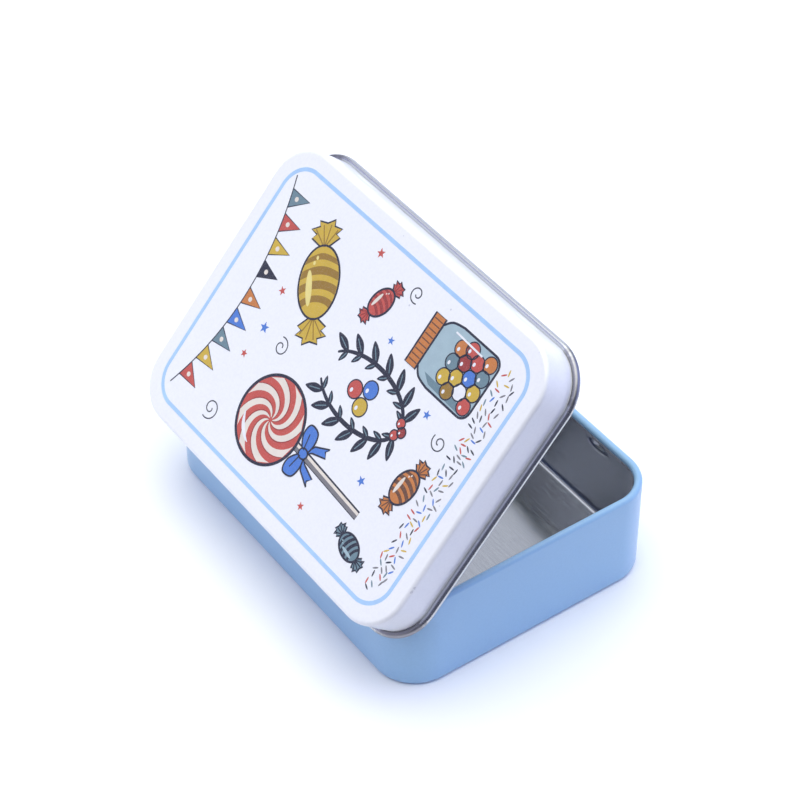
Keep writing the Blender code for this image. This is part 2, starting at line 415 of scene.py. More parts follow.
def rolled_sheet(name, section, part, closed, cut, skin, back):
    """The mesh of a drawn sheet, closed at one height, with its thickness behind the skin.
    The cut is an opening's distance from the middle, half width, foot and head."""
    sheet = bpy.context.scene.candy_tin.sheet
    line = bpy.data.meshes.new(name + "_section")
    line.from_pydata([(-inset, -height, 0) for inset, height in section],
                     [(i, i + 1) for i in range(len(section) - 1)], [])
    values = {
        "Width": part.width, "Length": part.length, "Corner Radius": part.corner_radius,
        "Corner Steps": sheet.corner_steps, "Spacing": sheet.spacing, "Closed Height": closed,
        "Dent Distance": part.dent_y, "Dent Height": part.dent_height,
        "Dent Half Length": part.dent_length, "Dent Half Height": part.dent_rise,
        "Dent Depth": part.dent_depth, "Material": skin}
    values.update(zip(("Cut Distance", "Cut Half Width", "Cut Foot", "Cut Head"), cut))
    mesh = grow(name, line, drawn_sheet_tree(), values)
    form = bmesh.new()
    form.from_mesh(mesh)
    bmesh.ops.recalc_face_normals(form, faces=form.faces)
    closed_end = max(form.faces, key=lambda face: len(face.verts))
    if closed_end.normal.z > 0:
        bmesh.ops.reverse_faces(form, faces=form.faces)
    form.to_mesh(mesh)
    form.free()
    mesh = thickened(name, mesh, sheet.thickness, skin, back)
    mark_blank(mesh, part, closed)
    smooth(mesh)
    return mesh


def thickened(name, mesh, thickness, skin, back):
    """A thin mesh made solid behind its skin. Skin and back are its two materials."""
    mesh.materials.clear()
    for material in (skin, back):
        mesh.materials.append(material)
    plate = linked(name + "_plate", mesh)
    solid = plate.modifiers.new("thickness", "SOLIDIFY")
    solid.thickness = thickness
    solid.offset = -1
    solid.use_even_offset = True
    solid.material_offset = solid.material_offset_rim = 1
    return plain_mesh(plate, name)


def mark_blank(mesh, part, closed):
    """Stores in "blank" where each point lay in the flat sheet, so that the grain runs up the
    walls. The third value is 1 in the middle of a drawn corner and 0 on all that stayed flat."""
    blank = mesh.attributes.new("blank", "FLOAT_VECTOR", "POINT")
    core_x = part.width / 2 - part.corner_radius
    core_y = part.length / 2 - part.corner_radius
    for point, vertex in zip(blank.data, mesh.vertices):
        x, y, z = vertex.co
        away = Vector((x - max(-core_x, min(core_x, x)), y - max(-core_y, min(core_y, y))))
        if away.length > 0:
            away.normalize()
        rise = abs(z - closed)
        drawn = 2 * abs(away.x * away.y) * min(1, rise / DRAWN_RISE)
        point.vector = (x + away.x * rise, y + away.y * rise, drawn)


def smooth(mesh):
    mesh.shade_smooth()
    mesh.set_sharp_from_angle(angle=SHARP_ANGLE)


def lug_mesh(base, sheet, paint, metal):
    """The two strips lanced out of the tray's wall and curled round the lid's bead."""
    form = bmesh.new()
    radius, curl_end = base.lug_radius, radians(70)
    sweep = 2 * pi - (pi / 2 + curl_end)
    angles = [-pi / 2 - sweep * step / sheet.roll_steps for step in range(sheet.roll_steps + 1)]
    wall = -base.width / 2 + sheet.thickness / 2 - HINGE_POINT.x
    line = [(wall, -radius)] + [(radius * cos(a), radius * sin(a)) for a in angles]
    for side in (-1, 1):
        rows = [[form.verts.new((HINGE_POINT.x + x, side * base.slot_y + y,
                                 HINGE_POINT.z + z)) for x, z in line]
                for y in (-base.lug_width / 2, base.lug_width / 2)]
        for a, b, c, d in zip(rows[0], rows[0][1:], rows[1][1:], rows[1]):
            form.faces.new((a, b, c, d))
    form.normal_update()
    lowest = min(form.faces, key=lambda face: face.calc_center_median().z)
    if lowest.normal.z > 0:
        bmesh.ops.reverse_faces(form, faces=form.faces)
    mesh = bpy.data.meshes.new("lugs")
    form.to_mesh(mesh)
    form.free()
    mesh = thickened("hinge_lugs", mesh, sheet.thickness, paint, metal)
    blank = mesh.attributes.new("blank", "FLOAT_VECTOR", "POINT")
    for point, vertex in zip(blank.data, mesh.vertices):
        x, y, z = vertex.co
        point.vector = (atan2(z - HINGE_POINT.z, x - HINGE_POINT.x) * radius, y, 0)
    smooth(mesh)
    return mesh


# Materials

VARNISH = {"Coat Weight": 0.25, "Coat Roughness": 0.12}


def new_material(name):
    """An empty material, its nodes and its shader."""
    material = bpy.data.materials.new(name)
    material.use_nodes = True
    nodes = Nodes(material.node_tree)
    return material, nodes, material.node_tree.nodes["Principled BSDF"]


def noise(nodes, place, scale, detail=2.0, roughness=0.5):
    return nodes.add("ShaderNodeTexNoise", {"Vector": place, "Scale": scale, "Detail": detail,
                                            "Roughness": roughness}).outputs["Fac"]


def ramp(nodes, value, low, high, floor=0.0, ceiling=1.0):
    """A smooth step from floor to ceiling as the value goes from low to high."""
    return nodes.out("ShaderNodeMapRange",
                     {"Value": value, "From Min": low, "From Max": high, "To Min": floor,
                      "To Max": ceiling}, interpolation_type="SMOOTHSTEP")


def blend(nodes, share, first, second):
    """The first colour where the share is 0, and the second where it is 1."""
    first, second = [colour if isinstance(colour, bpy.types.NodeSocket) else (*colour, 1)
                     for colour in (first, second)]
    return nodes.add("ShaderNodeMix", {0: share, 6: first, 7: second},
                     data_type="RGBA").outputs[2]


def bump(nodes, height, strength):
    return nodes.out("ShaderNodeBump", {"Height": height, "Strength": strength,
                                        "Distance": RELIEF})


def shade(colour, share):
    return tuple(channel * share for channel in colour)


def lacquer(name, colour, speck, roughness, scuffs=()):
    """Satin lacquer: a faint cloudiness, orange peel, tiny specks and the odd scuff."""
    material, nodes, shader = new_material(name)
    place = nodes.add("ShaderNodeTexCoord").outputs["Object"]
    cloud = noise(nodes, place, 40.0)
    tone = blend(nodes, cloud, shade(colour, 0.985), colour)
    grain = noise(nodes, place, 1500.0)
    tone = blend(nodes, ramp(nodes, grain, 0.35, 0.7, 0.0, 0.035), tone, speck)
    dots = nodes.add("ShaderNodeTexVoronoi", {"Vector": place, "Scale": 260.0}).outputs
    rare = ramp(nodes, nodes.split(dots["Color"])[0], 0.9, 0.93)
    dot = nodes.product(ramp(nodes, dots["Distance"], 0.09, 0.03), rare)
    tone = blend(nodes, nodes.product(dot, 0.35), tone, speck)
    if scuffs:
        ragged = ramp(nodes, noise(nodes, place, 1400.0, 3.0), 0.3, 0.7, 0.0, 0.9)
        worn = 0.0
        for spot in scuffs:
            near = nodes.vector("DISTANCE", place, tuple(spot))
            reach = nodes.math("ADD", nodes.math("DIVIDE", near, SCUFF_REACH), ragged)
            worn = nodes.math("MAXIMUM", worn, ramp(nodes, reach, 1.05, 0.75))
        tone = blend(nodes, nodes.product(worn, 0.28), tone, speck)
    matt = nodes.math("ADD", ramp(nodes, cloud, 0.0, 1.0, roughness - 0.04, roughness + 0.04),
                      nodes.product(dot, 0.2))
    peel = noise(nodes, place, 700.0)
    nodes.give(shader, {"Base Color": tone, "Roughness": matt,
                        "Normal": bump(nodes, peel, 0.05), "Specular IOR Level": 0.5, **VARNISH})
    return material


def tinplate(name, colour, smoothest, roughest):
    """Bright rolled tinplate: fine streaks along the sheet, faint clouds and handling marks.
    It is duller and darker where it was drawn round a corner."""
    material, nodes, shader = new_material(name)
    sheet = nodes.add("ShaderNodeAttribute", attribute_name="blank").outputs["Vector"]
    x, y, drawn = nodes.split(sheet)
    flat = nodes.join(x, y, 0.0)
    fine = noise(nodes, nodes.vector("MULTIPLY", flat, (7000.0, 420.0, 0.0)), 1.0, 4.0, 0.6)
    broad = noise(nodes, nodes.vector("MULTIPLY", flat, (2000.0, 90.0, 0.0)), 1.0)
    cloud = noise(nodes, flat, 90.0, 3.0)
    streak = nodes.math("ADD", nodes.product(fine, 0.65), nodes.product(broad, 0.35))
    tone = blend(nodes, ramp(nodes, streak, 0.36, 0.64), shade(colour, 0.93), colour)
    tone = blend(nodes, ramp(nodes, cloud, 0.55, 0.75, 0.0, 0.2), tone, shade(colour, 0.86))
    patchy = nodes.math("ADD", drawn, ramp(nodes, noise(nodes, flat, 500.0, 3.0), 0.3, 0.7,
                                           -0.2, 0.2))
    worn = nodes.product(ramp(nodes, drawn, 0.0, 0.3), ramp(nodes, patchy, 0.1, 0.8))
    dark = nodes.vector("MULTIPLY", tone, (0.52, 0.5, 0.52))
    tone = blend(nodes, worn, tone, dark)
    matt = nodes.math("ADD", ramp(nodes, streak, 0.35, 0.65, smoothest, roughest),
                      ramp(nodes, cloud, 0.5, 0.8, 0.0, 0.03))
    matt = nodes.math("ADD", matt, nodes.product(worn, 0.12))
    nodes.give(shader, {"Base Color": tone, "Roughness": matt,
                        "Normal": bump(nodes, streak, 0.05), "Metallic": 1.0})
    return material


def ink(name):
    """Printing ink under varnish, in the colours that the mesh carries."""
    material, nodes, shader = new_material(name)
    place = nodes.add("ShaderNodeTexCoord").outputs["Object"]
    colour = nodes.add("ShaderNodeAttribute", attribute_name="ink").outputs["Color"]
    soft = nodes.vector("MULTIPLY", colour, (0.94, 0.94, 0.95))
    tone = blend(nodes, ramp(nodes, noise(nodes, place, 420.0, 4.0), 0.35, 0.7), soft, colour)
    screen = noise(nodes, place, 4200.0, 1.0)
    tone = blend(nodes, ramp(nodes, screen, 0.45, 0.8, 0.0, 0.09), tone, (0.88, 0.89, 0.94))
    matt = ramp(nodes, noise(nodes, place, 300.0, 3.0), 0.3, 0.7, 0.3, 0.4)
    nodes.give(shader, {"Base Color": tone, "Roughness": matt,
                        "Normal": bump(nodes, screen, 0.1), **VARNISH})
    return material


def stock(name, maker, *values):
    """A material by name, made the first time it is asked for."""
    return bpy.data.materials.get(name) or maker(name, *values)


def paints():
    """The tin's finishes."""
    colours = bpy.context.scene.candy_tin.paint
    tray, lid, metal = tuple(colours.base), tuple(colours.lid), tuple(colours.metal)
    return {
        "blue": stock("blue_lacquer", lacquer, tray, linear(70, 100, 140), 0.36),
        "white": stock("white_lacquer", lacquer, lid, linear(120, 120, 150), 0.3, SCUFFS),
        "metal": stock("rolled_tinplate", tinplate, metal, 0.11, 0.23),
        # The bead and the lid's inside take the same tinplate painted 1.2 times lighter, a
        # painted highlight standing in for their brighter reflection
        "bead": stock("curled_tinplate", tinplate, shade(metal, 1.2), 0.21, 0.25),
        "ink": stock("printing_ink", ink),
    }


# Print on the lid

FINEST_END = 0.08
RED = linear(203, 86, 74)
DEEP_RED = linear(160, 58, 52)
BLUE = linear(78, 128, 214)
NAVY = linear(34, 38, 56)
BLACK = linear(52, 54, 66)
MUSTARD = linear(214, 180, 62)
OCHRE = linear(158, 122, 40)
STEEL = linear(112, 140, 152)
PALE_STEEL = linear(170, 194, 204)
ORANGE = linear(208, 128, 60)
BROWN = linear(112, 72, 46)
GREY = linear(128, 126, 130)
CREAM = linear(238, 228, 216)
WHITE = linear(246, 247, 252)


class Card:
    """Shapes in flat ink, as closed outlines on a card in millimetres."""

    def __init__(self):
        self.shapes = []

    def fill(self, outline, colour, layer):
        """A field of colour. The outline may be drawn either way round."""
        area = sum(a[0] * b[1] - b[0] * a[1] for a, b in zip(outline, outline[1:] + outline[:1]))
        self.shapes.append((outline if area > 0 else outline[::-1], colour, layer))

    def stroke(self, line, width, colour, layer, taper=0.0, closed=False):
        """A line as wide as given, thinner towards its ends where taper is above 0."""
        points = line + line[:1] if closed else line
        count = len(points) - 1
        sides = []
        for i, point in enumerate(points):
            before = points[i - 1] if i else (points[-2] if closed else point)
            after = points[i + 1] if i < count else (points[1] if closed else point)
            along = Vector(after) - Vector(before)
            along = along.normalized() if along.length else Vector((1, 0))
            share = 1 - taper * abs(2 * i / count - 1) ** 2
            across = Vector((-along.y, along.x)) * width / 2 * share
            sides.append((Vector(point) + across, Vector(point) - across))
        for (a, b), (c, d) in zip(sides, sides[1:]):
            if (a - c).length + (b - d).length > TINY:
                self.fill([b, d, c, a], colour, layer)
        radius = width / 2 * (1 - taper)
        if not closed and radius > FINEST_END:
            for point in (points[0], points[-1]):
                self.fill(oval(point, radius, radius, steps=12), colour, layer + 0.2)

    def outlined(self, outline, colour, layer, width=0.42):
        self.fill(outline, colour, layer)
        self.stroke(outline, width, NAVY, layer + 1, closed=True)

    def mesh(self, name, margin_x, height, step):
        """The ink as thin closed plates, each as high as its layer says, on the panel."""
        form = bmesh.new()
        tint = form.loops.layers.float_color.new("ink")
        for outline, colour, layer in self.shapes:
            low, high = height - step, height + step * (1 + layer)
            rings = [[form.verts.new((margin_x + x * MM, y * MM, z)) for x, y in outline]
                     for z in (low, high)]
            faces = [form.faces.new(rings[1]), form.faces.new(rings[0][::-1])]
            count = len(outline)
            for i in range(count):
                j = (i + 1) % count
                faces.append(form.faces.new((rings[0][i], rings[0][j], rings[1][j],
                                             rings[1][i])))
            for face in faces:
                for loop in face.loops:
                    loop[tint] = (*colour, 1)
        mesh = bpy.data.meshes.new(name)
        form.to_mesh(mesh)
        form.free()
        return mesh


def oval(centre, across, up, turn=0.0, steps=36, start=0.0, sweep=2 * pi):
    """Points round an oval, or on a part of it."""
    count = steps if sweep >= 2 * pi - TINY else steps + 1
    points = []
    for i in range(count):
        angle = start + sweep * i / steps
        x, y = across * cos(angle), up * sin(angle)
        points.append((centre[0] + x * cos(turn) - y * sin(turn),
                       centre[1] + x * sin(turn) + y * cos(turn)))
    return points


def moved(points, centre, turn=0.0, scale=1.0):
    """Points drawn round the origin, scaled, turned and moved."""
    return [(centre[0] + scale * (x * cos(turn) - y * sin(turn)),
             centre[1] + scale * (x * sin(turn) + y * cos(turn))) for x, y in points]


def curve_through(points, closed=False, steps=7):
    """A smooth line through the points given."""
    count = len(points)
    made = []
    spans = count if closed else count - 1
    for i in range(spans):
        ends = [points[(i + k) % count] if closed else points[max(0, min(count - 1, i + k))]
                for k in (-1, 0, 1, 2)]
        for step in range(steps):
            t = step / steps
            made.append(tuple(
                0.5 * (2 * b + (c - a) * t + (2 * a - 5 * b + 4 * c - d) * t * t
                       + (3 * b - a - 3 * c + d) * t ** 3)
                for a, b, c, d in zip(*ends)))
    return made if closed else made + [points[-1]]


def spiral(centre, outer, inner, start, sweep, steps=44):
    """A line that turns inwards round a centre."""
    return [(centre[0] + (outer + (inner - outer) * i / steps) * cos(start + sweep * i / steps),
             centre[1] + (outer + (inner - outer) * i / steps) * sin(start + sweep * i / steps))
            for i in range(steps + 1)]


def draw_sweet(card, centre, turn, scale, colour, dark, light):
    """A wrapped sweet: a striped body between two pleated fans of paper."""
    fan = [(8.6, 0.9), (11.0, 4.4), (12.0, 3.0), (13.3, 4.9), (14.0, 2.2), (15.4, 2.6),
           (14.8, 0.0), (15.6, -2.4), (14.0, -2.4), (13.2, -4.9), (12.0, -3.2), (11.0, -4.6),
           (8.6, -0.9)]
    pleats = [((9.0, 0.3), (13.2, 3.4)), ((9.0, 0.1), (14.2, 1.1)), ((9.0, -0.1), (14.2, -1.3)),
              ((9.0, -0.3), (12.9, -3.5))]
    for side in (0, pi):
        card.outlined(moved(fan, centre, turn + side, scale), colour, 2)
        for start, stop in pleats:
            card.stroke(moved([start, stop], centre, turn + side, scale), 0.3, dark, 4)
    body = oval((0, 0), 9.2, 6.4, steps=44)
    card.outlined(moved(body, centre, turn, scale), colour, 4, width=0.5)
    for middle, half in ((-5.2, 0.85), (-1.7, 1.05), (1.9, 1.05), (5.4, 0.8)):
        edge = []
        for side in (-1, 1):
            line = []
            for i in range(11):
                y = -1 + 0.2 * i
                x = middle + side * half + 1.5 * (1 - y * y) - 0.4
                reach = 6.05 * (1 - min(1.0, (abs(x) / 9.2)) ** 2) ** 0.5
                line.append((x, y * reach))
            edge.append(line if side < 0 else line[::-1])
        card.fill(moved(edge[0] + edge[1], centre, turn, scale), dark, 4.5)
    gleams = [oval((-1.5, 2.9), 4.6, 1.0, turn=0.12, steps=20),
              oval((4.8, 2.3), 0.55, 0.4, steps=10), oval((6.1, 1.5), 0.55, 0.4, steps=10)]
    for gleam in gleams:
        card.fill(moved(gleam, centre, turn, scale), light, 5.3)


def draw_lollipop(card, centre, radius, stick_end):
    """A round lollipop with a turning swirl, on a stick with a bow."""
    foot, end = Vector((centre[0], centre[1] - radius)), Vector(stick_end)
    along = end - foot
    across = Vector((-along.y, along.x)).normalized() * 0.95
    card.outlined([foot + across, end + across, end - across, foot - across], CREAM, 0)
    card.fill([foot, end, end - across, foot - across], GREY, 1.4)
    card.outlined(oval(centre, radius, radius, steps=60), RED, 2, width=0.75)
    wedges = 8
    for wedge in range(wedges):
        first = wedge * 2 * pi / wedges
        edges = []
        for shift in (0, pi / wedges):
            edges.append([(centre[0] + radius * 0.96 * s * cos(first + shift + 1.9 * s),
                           centre[1] + radius * 0.96 * s * sin(first + shift + 1.9 * s))
                          for s in [0.06 + 0.94 * i / 14 for i in range(15)]])
        card.fill(edges[0] + edges[1][::-1], CREAM, 2.6)
        card.stroke(edges[0], 0.28, DEEP_RED, 3.6, taper=0.5)
    card.stroke(oval(centre, radius * 0.78, radius * 0.78, start=1.9, sweep=0.95, steps=14),
                1.0, WHITE, 5, taper=0.8)
    knot = foot + along * 0.12
    for side in (-1, 1):
        loop = curve_through([(0, 0), (side * 3.2, 2.9), (side * 6.3, 2.5), (side * 5.9, -0.6),
                              (side * 2.6, -1.4)], closed=True, steps=6)
        card.outlined(moved(loop, knot), BLUE, 5)
        tail = [(0, 0), (side * 1.6, -2.2), (side * 2.9, -6.3), (side * 4.1, -5.2),
                (side * 5.2, -6.0), (side * 3.3, -2.0)]
        card.outlined(moved(tail, knot), BLUE, 3)
        card.stroke(moved([(side * 0.8, 0.5), (side * 4.4, 1.3)], knot), 0.3, NAVY, 7)
    card.outlined(oval(knot, 1.25, 1.45, steps=16), BLUE, 7)


def draw_jar(card, corner, width, height):
    """A glass jar of round sweets under a screwed lid."""
    x, y = corner
    foot = 2.6
    body = (oval((x + width - foot, y + foot), foot, foot, steps=6, start=-pi / 2, sweep=pi / 2)
            + curve_through([(x + width, y + height * 0.72), (x + width - 0.8, y + height * 0.9),
                             (x + width - 2.8, y + height)], steps=4)
            + curve_through([(x + 2.8, y + height), (x + 0.8, y + height * 0.9),
                             (x, y + height * 0.72)], steps=4)
            + oval((x + foot, y + foot), foot, foot, steps=6, start=pi, sweep=pi / 2))
    card.outlined(body, PALE_STEEL, 1, width=0.55)
    card.fill([(x + 0.5, y + 3.0), (x + 2.2, y + 1.2), (x + 2.6, y + height * 0.86),
               (x + 0.9, y + height * 0.72)], STEEL, 1.4)
    shades = (RED, MUSTARD, STEEL, ORANGE, WHITE, BLUE, RED, OCHRE, MUSTARD, DEEP_RED)
    spots = [(2.7, 2.5), (6.6, 2.3), (10.6, 2.4), (14.4, 2.6), (4.6, 5.7), (8.6, 5.5),
             (12.6, 5.8), (2.8, 8.9), (6.7, 8.8), (10.7, 8.9), (14.3, 8.9), (4.9, 12.0),
             (9.0, 12.1), (12.9, 11.9)]
    for i, (across, up) in enumerate(spots):
        middle = (x + across * width / 17, y + up * height / 20)
        draw_gumball(card, middle, 1.95, shades[i % len(shades)])
    card.stroke([(x + width - 2.2, y + height * 0.3), (x + width - 1.9, y + height * 0.78)],
                0.9, WHITE, 4.6, taper=0.5)
    top = [(x + 1.4, y + height), (x + width - 1.4, y + height),
           (x + width - 1.4, y + height + 3.6), (x + 1.4, y + height + 3.6)]
    card.outlined(top, ORANGE, 4, width=0.5)
    for i in range(9):
        across = x + 2.6 + (width - 5.2) * i / 8
        card.stroke([(across, y + height + 0.5), (across, y + height + 3.1)], 0.3, BROWN, 5.4)


def draw_garland(card):
    """A cord of small flags across the top of the card."""
    line = [(3.0 + 58.5 * t, 42.5 + 1.2 * t - 24 * t * (1 - t)) for t in
            [i / 40 for i in range(41)]]
    card.stroke(line, 0.32, BLACK, 1)
    flags = (RED, MUSTARD, STEEL, BLUE, ORANGE, NAVY, MUSTARD, RED, STEEL)
    for i, colour in enumerate(flags):
        at = 2 + 4 * i + (1 if i > 4 else 0)
        a, b = Vector(line[at]), Vector(line[at + 3])
        along = (b - a).normalized()
        down = Vector((along.y, -along.x))
        flag = [a, b, (a + b) / 2 + down * 6.4]
        card.outlined(flag, colour, 0.6, width=0.34)
        mark = (a + b) / 2 + down * 2.1
        card.fill(oval(mark, 0.62, 0.62, steps=12), CREAM, 1.8)


def draw_gumball(card, centre, radius, colour, layer=2.4):
    """A round sweet with a gleam."""
    card.outlined(oval(centre, radius, radius, steps=24), colour, layer, width=0.32)
    gleam = (centre[0] - radius * 0.3, centre[1] + radius * 0.36)
    card.fill(oval(gleam, radius * 0.26, radius * 0.2, steps=10), WHITE, layer + 1.6)


def draw_wreath(card, centre, across, up):
    """Two bold brushed branches of leaves, open at the top, round three sweets."""
    for side in (-1, 1):
        angles = [radians(-90 + 150 * i / 30) for i in range(31)]
        line = [(centre[0] + side * across * cos(a), centre[1] + up * sin(a)) for a in angles]
        card.stroke(line, 1.15, NAVY, 1, taper=0.5)
        for i in range(3, 31, 4):
            here, before = Vector(line[i]), Vector(line[i - 1])
            heading = atan2(*(here - before).yx)
            for hand, reach in ((-side, 5.6), (side, 3.4)):
                leaf = curve_through([(0, 0), (reach * 0.42, reach * 0.21), (reach, 0.1),
                                      (reach * 0.48, reach * -0.19)], closed=True, steps=5)
                turn = heading + hand * radians(46)
                card.fill(moved(leaf, here, turn), NAVY, 1.6)
                card.stroke(moved([(reach * 0.2, 0.05), (reach * 0.75, 0.1)], here, turn),
                            0.24, STEEL, 2.4)
    foot = (centre[0], centre[1] - up)
    for shift, colour in (((-1.5, 0.5), RED), ((1.6, 0.6), RED), ((0.1, -0.9), DEEP_RED)):
        draw_gumball(card, (foot[0] + shift[0], foot[1] + shift[1]), 1.25, colour, 4)
    for shift, colour in (((0, 2.5), RED), ((-2.35, -1.5), MUSTARD), ((2.35, -1.5), BLUE)):
        draw_gumball(card, (centre[0] + shift[0], centre[1] + shift[1]), 2.2, colour)


def draw_star(card, centre, reach, turn, colour):
    """A star with five points."""
    points = []
    for i in range(10):
        radius = reach if i % 2 == 0 else reach * 0.42
        points.append((centre[0] + radius * cos(turn + pi * i / 5),
                       centre[1] + radius * sin(turn + pi * i / 5)))
    card.fill(points, colour, 1)


def draw_card():
    """The whole print: sweets, leaves, flags and stars, with y from -45 to 45."""
    card = Card()
    draw_garland(card)
    draw_wreath(card, (33.5, -9.0), 7.6, 14.5)
    draw_lollipop(card, (14.0, 9.5), 10.6, (12.5, -27.0))
    draw_sweet(card, (46.0, 20.0), radians(32), 0.95, MUSTARD, OCHRE, linear(240, 224, 140))
    draw_jar(card, (45.0, -37.0), 16.0, 19.5)
    draw_sweet(card, (25.0, -33.5), radians(-14), 0.5, ORANGE, BROWN, CREAM)
    draw_sweet(card, (52.5, 1.0), radians(-24), 0.44, RED, DEEP_RED, CREAM)
    draw_sweet(card, (6.0, -30.0), radians(72), 0.4, STEEL, NAVY, PALE_STEEL)
    for centre, reach, turn, colour in (
            ((29.0, 26.5), 1.5, 0.3, BLUE), ((38.5, 28.0), 1.2, 0.8, RED),
            ((21.0, 27.5), 1.1, 0.1, RED), ((61.0, 9.0), 1.3, 0.5, RED),
            ((40.6, -27.5), 1.2, 0.2, BLUE), ((19.0, -22.5), 1.3, 0.9, BLUE),
            ((47.5, -7.5), 1.1, 0.4, BLUE), ((4.5, -12.0), 1.1, 0.6, RED)):
        draw_star(card, centre, reach, turn, colour)
    for centre, outer, start, sweep in (
            ((28.4, 19.0), 2.4, 0.4, -8.0), ((5.5, 27.0), 2.8, 2.8, 8.5),
            ((37.8, -34.6), 2.3, 1.2, 8.0), ((59.5, -6.5), 2.2, 3.6, -7.5)):
        card.stroke(spiral(centre, outer, 0.5, start, sweep), 0.3, BLACK, 1)
    return card


def sprinkle_tree():
    """Scatters small rods on a patch of the card, each in one of the ink colours."""
    nodes, given, end = new_tree("sprinkles", {
        "Geometry": ["Patch"], "Int": ["Count", "Seed"], "Material": ["Material"],
        "Float": ["Rod Length", "Rod Width", "Rod Height", "Spacing"]})
    out, math = nodes.out, nodes.math
    crowded = 3000000.0
    points = out("GeometryNodeDistributePointsOnFaces",
                 {"Mesh": given["Patch"], "Distance Min": given["Spacing"],
                  "Density Max": crowded, "Seed": given["Seed"]},
                 distribute_method="POISSON")
    index = out("GeometryNodeInputIndex")
    extra = math("GREATER_THAN", index, math("SUBTRACT", given["Count"], 0.5))
    points = out("GeometryNodeDeleteGeometry", {"Geometry": points, "Selection": extra},
                 domain="POINT")
    pick = nodes.add("FunctionNodeRandomValue", {"Seed": given["Seed"]}, data_type="FLOAT")
    colour = nodes.add("ShaderNodeValToRGB", {0: pick.outputs[1]})
    shades = (GREY, NAVY, RED, STEEL, GREY, MUSTARD, BLUE, BLACK)
    colour.color_ramp.interpolation = "CONSTANT"
    stops = colour.color_ramp.elements
    stops[1].position = 1 / len(shades)
    for i in range(2, len(shades)):
        stops.new(i / len(shades))
    for stop, tone in zip(stops, shades):
        stop.color = (*tone, 1)
    points = out("GeometryNodeStoreNamedAttribute",
                 {"Geometry": points, "Name": "ink", "Value": colour.outputs[0]},
                 data_type="FLOAT_COLOR", domain="POINT")
    rod = out("GeometryNodeMeshCylinder",
              {"Vertices": 14, "Radius": 0.5, "Depth": given["Rod Height"]},
              fill_type="NGON")
    size = nodes.join(given["Rod Length"], given["Rod Width"], 1.0)
    rod = out("GeometryNodeTransform", {"Geometry": rod, "Scale": size})
    turn = nodes.add("FunctionNodeRandomValue", {"Max": 2 * pi, "Seed": 3}, data_type="FLOAT")
    turned = nodes.join(0.0, 0.0, turn.outputs[1])
    placed = out("GeometryNodeInstanceOnPoints",
                 {"Points": points, "Instance": rod, "Rotation": turned})
    return close_tree(nodes, end, placed, given["Material"])


def border_tree():
    """Sweeps a thin flat plate round a rounded rectangle."""
    nodes, given, end = new_tree("border_line", {
        "Geometry": ["Host"], "Int": ["Corner Steps"], "Material": ["Material"],
        "Float": ["Width", "Length", "Corner Radius", "Line Width", "Line Height"]})
    path = rounded_outline(nodes, given)
    profile = nodes.out("GeometryNodeCurvePrimitiveQuadrilateral",
                        {"Width": given["Line Width"], "Height": given["Line Height"]},
                        mode="RECTANGLE")
    line = nodes.out("GeometryNodeCurveToMesh",
                     {"Curve": path, "Profile Curve": profile})
    return close_tree(nodes, end, line, given["Material"])


# Operators

class TIN_OT_build_base(bpy.types.Operator):
    """Build the blue tray: floor, walls, rolled rim, catch dents and hinge slots"""
    bl_idname = "tin.build_base"
    bl_label = "Build tray"

    def execute(self, context):
        tin = context.scene.candy_tin
        base, sheet, finish = tin.base, tin.sheet, paints()
        foot = HINGE_POINT.z - base.lug_radius + 2 * sheet.thickness
        head = foot + base.slot_height
        section = arc((base.edge_radius, base.edge_radius), base.edge_radius, -pi / 2, pi / 2, 8)
        rim_centre = base.height - base.rim_radius
        section += [(0.0, z) for z in levels(
            base.edge_radius, rim_centre, (foot, head), base.dent_height,
            base.dent_rise * 1.2, 0.2 * MM)]
        section += arc((base.rim_radius, rim_centre), base.rim_radius, 0, sheet.roll_sweep,
                       sheet.roll_steps)
        cut = (base.slot_y, base.slot_width, foot, head)
        mesh = rolled_sheet("tray_shell", section, base, 0.0, cut, finish["blue"],
                            finish["metal"])
        piece = new_object("tray_shell", mesh, "base")
        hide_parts("base")
        return {"FINISHED"}


class TIN_OT_build_lugs(bpy.types.Operator):
    """Build the two lugs that curl out of the tray's wall round the lid's bead"""
    bl_idname = "tin.build_lugs"
    bl_label = "Build hinge lugs"

    def execute(self, context):
        tin, finish = context.scene.candy_tin, paints()
        mesh = lug_mesh(tin.base, tin.sheet, finish["blue"], finish["metal"])
        new_object("hinge_lugs", mesh, "base")
        return {"FINISHED"}


class TIN_OT_build_lid(bpy.types.Operator):
    """Build the white lid: panel, rounded shoulder, skirt, bead, dents and hinge windows"""
    bl_idname = "tin.build_lid"
    bl_label = "Build lid"

    def execute(self, context):
        tin = context.scene.candy_tin
        lid, sheet, finish = tin.lid, tin.sheet, paints()
        inner = lid.shoulder_radius - sheet.thickness
        centre = (lid.shoulder_radius, lid.panel_height - lid.shoulder_radius)
        section = arc(centre, inner, pi / 2, -pi / 2, 10)
        section += [(sheet.thickness, z) for z in reversed(levels(
            0.0, centre[1], (lid.window_foot, lid.window_head), lid.dent_height,
            lid.dent_rise * 1.15, 0.25 * MM))]
        outset = lid.bead_radius - sheet.thickness
        section += arc((-outset, 0), lid.bead_radius, pi, lid.bead_sweep, sheet.roll_steps)
        closed = lid.panel_height - sheet.thickness
        cut = (tin.base.slot_y, lid.window_width, lid.window_foot, lid.window_head)
        # The lid's inside and bead take the tinplate painted lighter, as a painted highlight
        mesh = rolled_sheet("lid_shell", section, lid, closed, cut, finish["bead"],
                            finish["white"])
        middle = Matrix.Translation((outset + lid.width / 2, 0, 0))
        piece = new_object("lid_shell", mesh, "lid",
                           LID_PLACE @ middle)
        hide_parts("lid")
        return {"FINISHED"}


